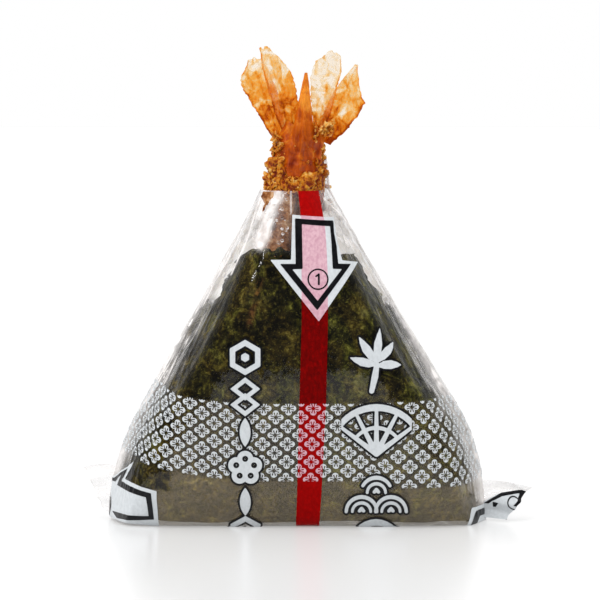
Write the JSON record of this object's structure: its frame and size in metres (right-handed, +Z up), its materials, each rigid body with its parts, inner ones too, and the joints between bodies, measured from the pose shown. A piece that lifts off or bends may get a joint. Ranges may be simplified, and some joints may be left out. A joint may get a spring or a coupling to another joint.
{
  "type": "onigiri rice ball in clear film",
  "caption": "Triangular rice ball with nori in a closed clear film wrapper, standing on its base, with a fried prawn's tail fan sticking out of the top.",
  "frame": {"origin": "on the flat base, under the middle of the front panel and midway between front and back", "axes": "+Z up through the tail fan, +X to the right as the printed front panel is seen, -Y towards the viewer"},
  "size_m": [0.1121, 0.04, 0.1182],
  "materials": {
    "film": "clear crinkled polypropylene film, glossy",
    "fried_prawn": "thin crisp shell of a fried prawn tail, amber and part see-through, with a slight oily sheen",
    "batter": "golden brown fried crumbs, rough with an oily glint",
    "nori": "dried seaweed sheet, very dark green, mottled and crinkled, satin",
    "rice": "cooked short-grain rice, moist white",
    "print_white": "white ink on film",
    "print_black": "black ink on film",
    "print_red": "red tear strip of film",
    "print_pink": "white ink over the red tear strip"
  },
  "bodies": {
    "root": {"film_pack": "film", "prawn_tail": "fried_prawn"}
  },
  "joints": []
}
